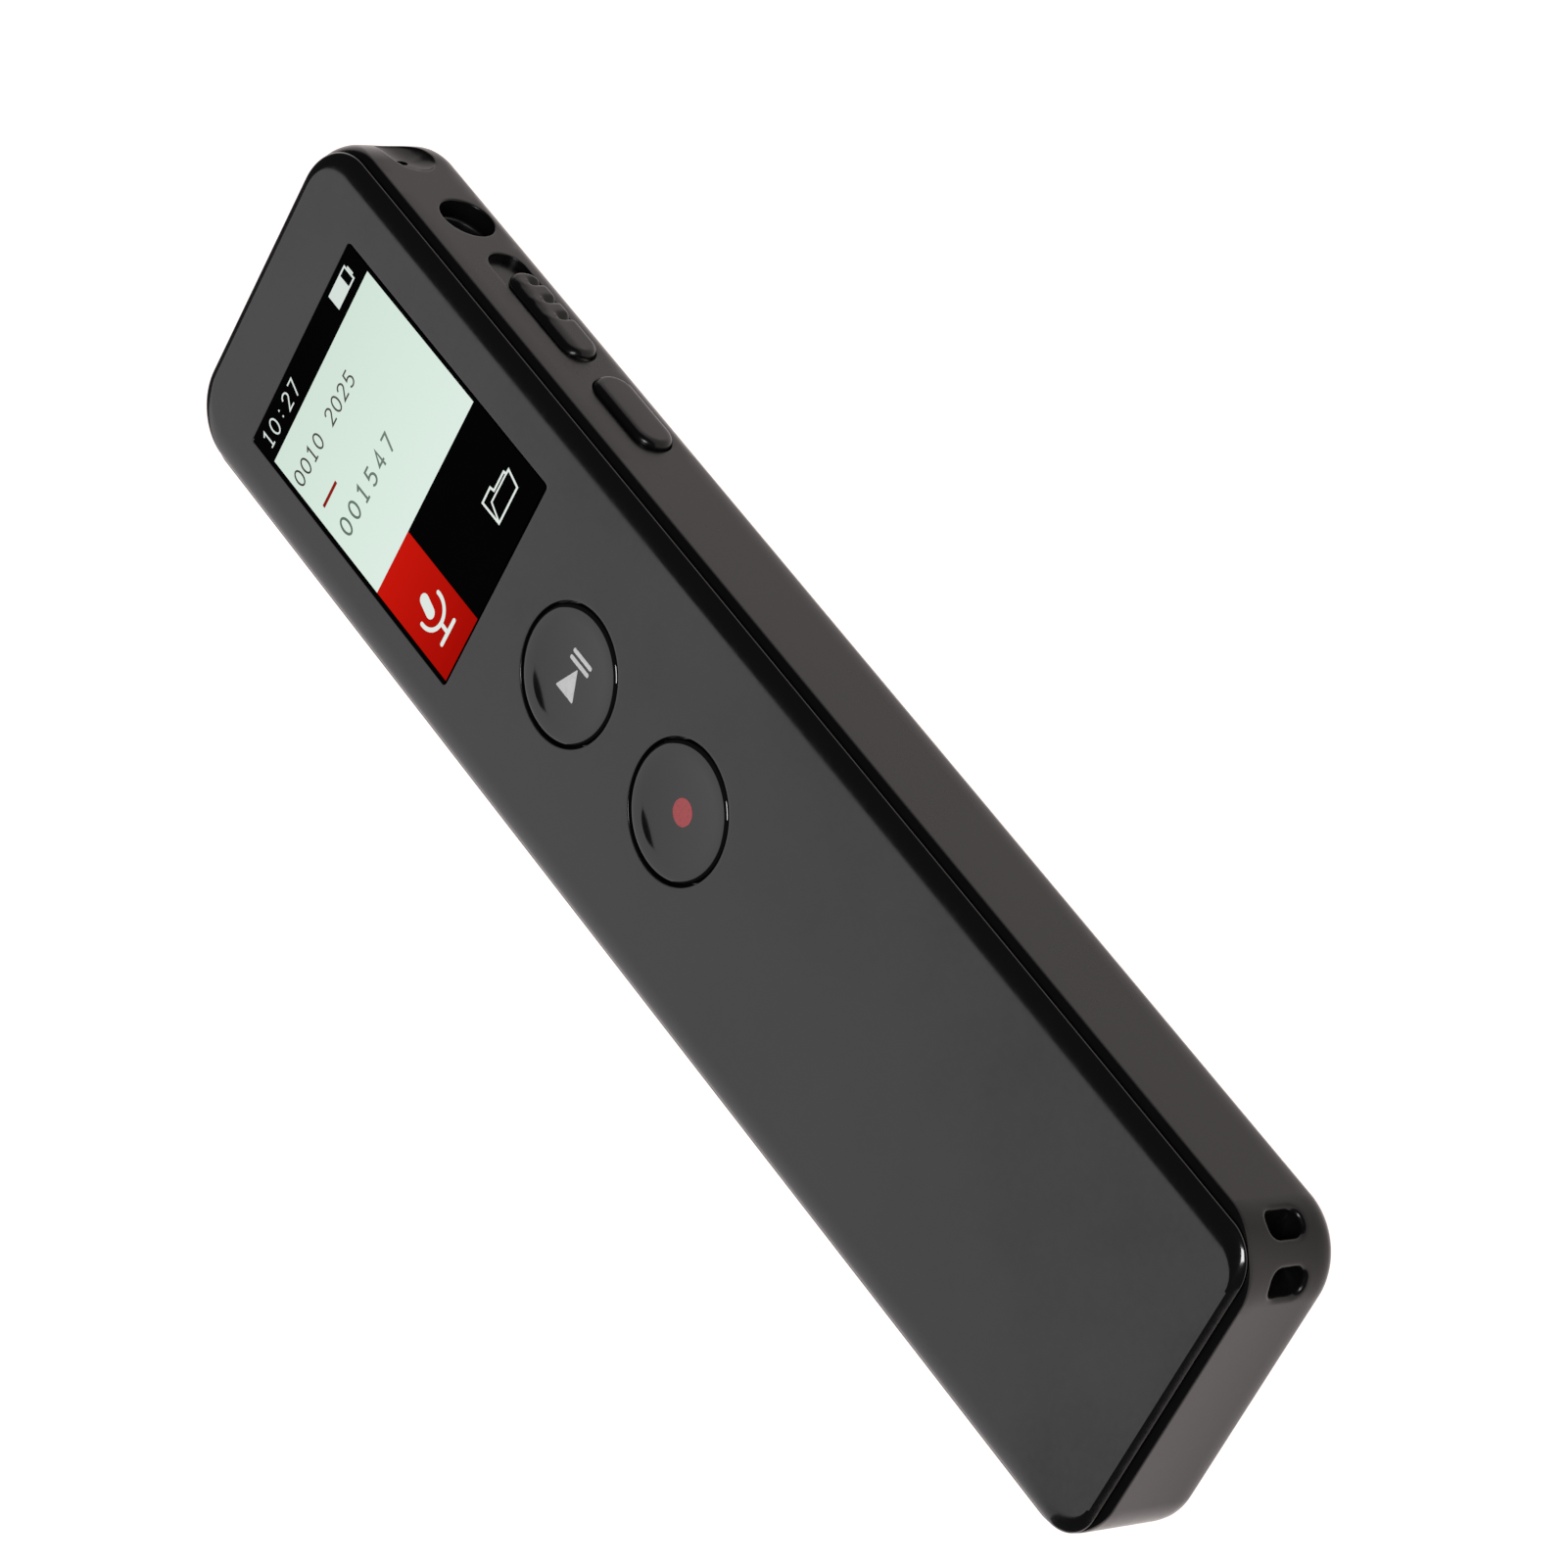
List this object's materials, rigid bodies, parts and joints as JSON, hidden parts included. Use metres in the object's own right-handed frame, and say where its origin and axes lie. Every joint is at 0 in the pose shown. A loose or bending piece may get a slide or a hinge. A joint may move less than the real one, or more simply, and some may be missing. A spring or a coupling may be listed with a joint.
{
  "type": "voice recorder",
  "caption": "Slim handheld voice recorder: dark plastic bar with a colour screen, round front keys, side keys, a hold slider, a headphone socket and a lanyard hole in one corner.",
  "frame": {"origin": "middle of the flat back face, which the recorder lies on", "axes": "+Z out of the front face, +Y towards the top end with the screen, +X towards the side with the headphone socket"},
  "size_m": [0.025, 0.1024, 0.008],
  "materials": {
    "body_plastic": "satin moulded dark grey plastic",
    "cover_plastic": "glossy dark grey plastic with a black edge",
    "key_plastic": "glossy dark grey keys",
    "black_plastic": "black moulded plastic",
    "white_plastic": "white backlight frame",
    "clear_acrylic": "clear polished acrylic over a lit screen",
    "panel_glass": "liquid crystal panel glass",
    "black_foam": "soft black foam and tape",
    "mic_rubber": "matt black rubber",
    "plated_steel": "plated steel",
    "board_green": "green circuit board",
    "chip_epoxy": "black epoxy chip package",
    "amber_film": "amber polyimide film",
    "pouch_foil": "silver battery pouch",
    "red_wire": "red wire insulation"
  },
  "bodies": {
    "case": {"battery_cell": "pouch_foil", "battery_lead_black": "black_plastic", "battery_lead_red": "red_wire", "battery_tape": "black_foam", "board_screw_1": "plated_steel", "board_screw_2": "plated_steel", "case_screw_1": "plated_steel", "case_screw_2": "plated_steel", "charger_chip": "chip_epoxy", "clock_crystal": "plated_steel", "display_gasket": "black_foam", "display_window": "clear_acrylic", "front_cover": "cover_plastic", "headphone_jack": "black_plastic", "hold_switch_base": "plated_steel", "lcd_backlight_frame": "white_plastic", "lcd_flex": "amber_film", "lcd_panel": "panel_glass", "left_microphone": "plated_steel", "left_microphone_boot": "mic_rubber", "main_board": "board_green", "memory_chip": "chip_epoxy", "menu_switch_base": "plated_steel", "next_switch_base": "plated_steel", "play_switch_base": "plated_steel", "port_shell": "plated_steel", "port_tongue": "black_plastic", "previous_switch_base": "plated_steel", "processor_chip": "chip_epoxy", "protection_board": "board_green", "rear_shell": "body_plastic", "record_switch_base": "plated_steel", "right_microphone": "plated_steel", "right_microphone_boot": "mic_rubber", "speaker_diaphragm": "amber_film", "speaker_frame": "black_plastic", "speaker_gasket": "black_foam", "speaker_lead_black": "black_plastic", "speaker_lead_red": "red_wire", "speaker_magnet": "plated_steel"},
    "play_button": {"play_key": "key_plastic", "play_switch_plunger": "black_plastic"},
    "record_button": {"record_key": "key_plastic", "record_switch_plunger": "black_plastic"},
    "menu_button": {"menu_key": "body_plastic", "menu_switch_plunger": "black_plastic"},
    "next_button": {"next_key": "body_plastic", "next_switch_plunger": "black_plastic"},
    "previous_button": {"previous_key": "body_plastic", "previous_switch_plunger": "black_plastic"},
    "hold_slider": {"hold_slider_knob": "body_plastic", "hold_switch_lever": "black_plastic"}
  },
  "joints": [
    {"name": "play_press", "type": "slide", "parent": "case", "child": "play_button", "axis": [0, 0, -1], "range_m": [0, 0.0003], "stiffness_N_per_m": 3000, "springref_m": -0.0002},
    {"name": "record_press", "type": "slide", "parent": "case", "child": "record_button", "axis": [0, 0, -1], "range_m": [0, 0.0003], "stiffness_N_per_m": 3000, "springref_m": -0.0002},
    {"name": "menu_press", "type": "slide", "parent": "case", "child": "menu_button", "axis": [-1, 0, 0], "range_m": [0, 0.0003], "stiffness_N_per_m": 3000, "springref_m": -0.0002},
    {"name": "next_press", "type": "slide", "parent": "case", "child": "next_button", "axis": [1, 0, 0], "range_m": [0, 0.0003], "stiffness_N_per_m": 3000, "springref_m": -0.0002},
    {"name": "previous_press", "type": "slide", "parent": "case", "child": "previous_button", "axis": [1, 0, 0], "range_m": [0, 0.0003], "stiffness_N_per_m": 3000, "springref_m": -0.0002},
    {"name": "hold_slide", "type": "slide", "parent": "case", "child": "hold_slider", "axis": [0, 1, 0], "range_m": [0, 0.0022]}
  ]
}
